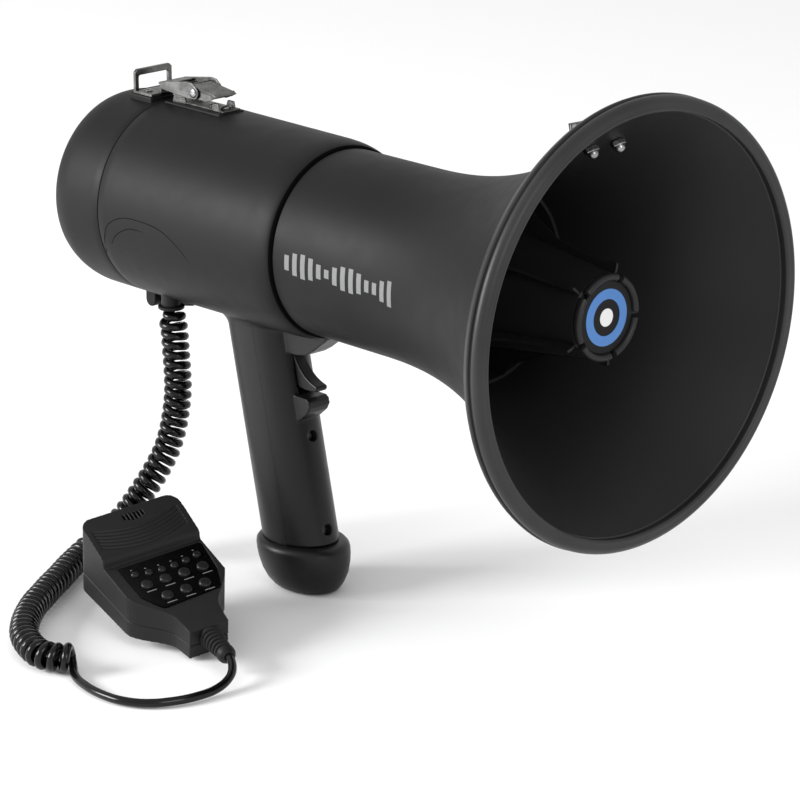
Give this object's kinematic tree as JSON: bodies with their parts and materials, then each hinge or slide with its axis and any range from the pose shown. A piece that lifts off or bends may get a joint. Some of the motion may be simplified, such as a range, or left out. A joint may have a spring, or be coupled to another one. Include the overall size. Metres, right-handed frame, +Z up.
{
  "type": "handheld megaphone",
  "caption": "Pistol-grip megaphone with a flared horn, latched battery door, shoulder strap loops and a corded hand microphone with a keypad.",
  "frame": {"origin": "centre of the flat underside of the handle's foot", "axes": "+X along the horn towards its mouth, +Y to the talker's left, +Z up"},
  "size_m": [0.4036, 0.3063, 0.3174],
  "materials": {
    "black_plastic": "satin moulded ABS",
    "dark_plastic": "matte moulded ABS",
    "gloss_black": "glossy",
    "rim_rubber": "semi-gloss extruded rubber",
    "cord_skin": "glossy flexible jacket",
    "soft_rubber": "matte",
    "grey_steel": "worn zinc plated steel",
    "bright_steel": "bright plated steel",
    "driver_iron": "plated iron",
    "diaphragm": "phenolic sheet",
    "emblem": "printed disc",
    "cell_wrap": "printed sleeve",
    "board": "lacquered circuit board"
  },
  "bodies": {
    "megaphone": {"horn_bell": "black_plastic", "rim_trim": "rim_rubber", "reflector_cup": "black_plastic", "reflector_ring": "gloss_black", "emblem_disc": "emblem", "throat_tube": "dark_plastic", "driver_magnet": "driver_iron", "driver_pole_plate": "driver_iron", "driver_diaphragm": "diaphragm", "driver_screws": "bright_steel", "body_shell": "black_plastic", "handle_front": "black_plastic", "handle_foot": "black_plastic", "handle_screws": "bright_steel", "trigger_pin": "bright_steel", "trigger_spring": "bright_steel", "trigger_switch": "dark_plastic", "hinge_pin": "bright_steel", "latch_base": "grey_steel", "latch_lever_pin": "bright_steel", "strap_bracket": "grey_steel", "bracket_screws": "bright_steel", "bracket_nuts": "bright_steel", "battery_holder": "dark_plastic", "battery_cells": "cell_wrap", "contact_springs": "bright_steel", "amp_board": "board", "cord_gland": "dark_plastic", "cord_coil_hanging": "cord_skin", "cord_coil_floor": "cord_skin", "cord_lead": "cord_skin", "mic_front_shell": "dark_plastic", "mic_rear_shell": "dark_plastic", "mic_panel": "gloss_black", "mic_capsule": "bright_steel", "mic_strain_relief": "soft_rubber", "mic_clip": "grey_steel"},
    "battery_door": {"rear_cap": "black_plastic", "cap_gasket": "soft_rubber", "strap_loop": "grey_steel"},
    "latch_lever_body": {"latch_lever": "grey_steel", "latch_claw_pin": "bright_steel"},
    "latch_claw_body": {"latch_claw": "grey_steel"},
    "trigger_body": {"trigger": "dark_plastic"},
    "talk_button_body": {"mic_talk_button": "gloss_black"},
    "key_small_1_body": {"key_small_1": "gloss_black"},
    "key_small_2_body": {"key_small_2": "gloss_black"},
    "key_small_3_body": {"key_small_3": "gloss_black"},
    "key_small_4_body": {"key_small_4": "gloss_black"},
    "key_small_5_body": {"key_small_5": "gloss_black"},
    "key_small_6_body": {"key_small_6": "gloss_black"},
    "key_medium_1_body": {"key_medium_1": "gloss_black"},
    "key_medium_2_body": {"key_medium_2": "gloss_black"},
    "key_medium_3_body": {"key_medium_3": "gloss_black"},
    "key_medium_4_body": {"key_medium_4": "gloss_black"},
    "key_medium_5_body": {"key_medium_5": "gloss_black"},
    "key_medium_6_body": {"key_medium_6": "gloss_black"},
    "key_medium_7_body": {"key_medium_7": "gloss_black"}
  },
  "joints": [
    {"name": "door_hinge", "type": "hinge", "parent": "megaphone", "child": "battery_door", "pos_m": [-0.112, 0, 0.1435], "axis": [0, -1, 0], "range_deg": [0, 100]},
    {"name": "latch_lever_hinge", "type": "hinge", "parent": "megaphone", "child": "latch_lever_body", "pos_m": [-0.095, 0, 0.2642], "axis": [0, -1, 0], "range_deg": [0, 100]},
    {"name": "latch_claw_hinge", "type": "hinge", "parent": "latch_lever_body", "child": "latch_claw_body", "pos_m": [-0.079, 0, 0.266], "axis": [0, -1, 0], "range_deg": [-100, 0]},
    {"name": "trigger_squeeze", "type": "hinge", "parent": "megaphone", "child": "trigger_body", "pos_m": [-0.008, 0, 0.13], "axis": [0, 1, 0], "range_deg": [0, 5], "stiffness_Nm_per_rad": 0.35, "springref_deg": -5.73},
    {"name": "talk_press", "type": "slide", "parent": "megaphone", "child": "talk_button_body", "axis": [-0.1894, -0.9762, -0.1053], "range_m": [0, 0.0015], "stiffness_N_per_m": 400, "springref_m": -0.0005},
    {"name": "key_small_1_press", "type": "slide", "parent": "megaphone", "child": "key_small_1_body", "axis": [-0.3246, 0.1635, -0.9316], "range_m": [0, 0.0008], "stiffness_N_per_m": 300, "springref_m": -0.0003},
    {"name": "key_small_2_press", "type": "slide", "parent": "megaphone", "child": "key_small_2_body", "axis": [-0.3246, 0.1635, -0.9316], "range_m": [0, 0.0008], "stiffness_N_per_m": 300, "springref_m": -0.0003},
    {"name": "key_small_3_press", "type": "slide", "parent": "megaphone", "child": "key_small_3_body", "axis": [-0.3246, 0.1635, -0.9316], "range_m": [0, 0.0008], "stiffness_N_per_m": 300, "springref_m": -0.0003},
    {"name": "key_small_4_press", "type": "slide", "parent": "megaphone", "child": "key_small_4_body", "axis": [-0.3246, 0.1635, -0.9316], "range_m": [0, 0.0008], "stiffness_N_per_m": 300, "springref_m": -0.0003},
    {"name": "key_small_5_press", "type": "slide", "parent": "megaphone", "child": "key_small_5_body", "axis": [-0.3246, 0.1635, -0.9316], "range_m": [0, 0.0008], "stiffness_N_per_m": 300, "springref_m": -0.0003},
    {"name": "key_small_6_press", "type": "slide", "parent": "megaphone", "child": "key_small_6_body", "axis": [-0.3246, 0.1635, -0.9316], "range_m": [0, 0.0008], "stiffness_N_per_m": 300, "springref_m": -0.0003},
    {"name": "key_medium_1_press", "type": "slide", "parent": "megaphone", "child": "key_medium_1_body", "axis": [-0.3246, 0.1635, -0.9316], "range_m": [0, 0.0008], "stiffness_N_per_m": 300, "springref_m": -0.0003},
    {"name": "key_medium_2_press", "type": "slide", "parent": "megaphone", "child": "key_medium_2_body", "axis": [-0.3246, 0.1635, -0.9316], "range_m": [0, 0.0008], "stiffness_N_per_m": 300, "springref_m": -0.0003},
    {"name": "key_medium_3_press", "type": "slide", "parent": "megaphone", "child": "key_medium_3_body", "axis": [-0.3246, 0.1635, -0.9316], "range_m": [0, 0.0008], "stiffness_N_per_m": 300, "springref_m": -0.0003},
    {"name": "key_medium_4_press", "type": "slide", "parent": "megaphone", "child": "key_medium_4_body", "axis": [-0.3246, 0.1635, -0.9316], "range_m": [0, 0.0008], "stiffness_N_per_m": 300, "springref_m": -0.0003},
    {"name": "key_medium_5_press", "type": "slide", "parent": "megaphone", "child": "key_medium_5_body", "axis": [-0.3246, 0.1635, -0.9316], "range_m": [0, 0.0008], "stiffness_N_per_m": 300, "springref_m": -0.0003},
    {"name": "key_medium_6_press", "type": "slide", "parent": "megaphone", "child": "key_medium_6_body", "axis": [-0.3246, 0.1635, -0.9316], "range_m": [0, 0.0008], "stiffness_N_per_m": 300, "springref_m": -0.0003},
    {"name": "key_medium_7_press", "type": "slide", "parent": "megaphone", "child": "key_medium_7_body", "axis": [-0.3246, 0.1635, -0.9316], "range_m": [0, 0.0008], "stiffness_N_per_m": 300, "springref_m": -0.0003}
  ],
  "couplings": [
    {"joint": "latch_claw_hinge", "follows": "latch_lever_hinge", "ratio": -1}
  ]
}
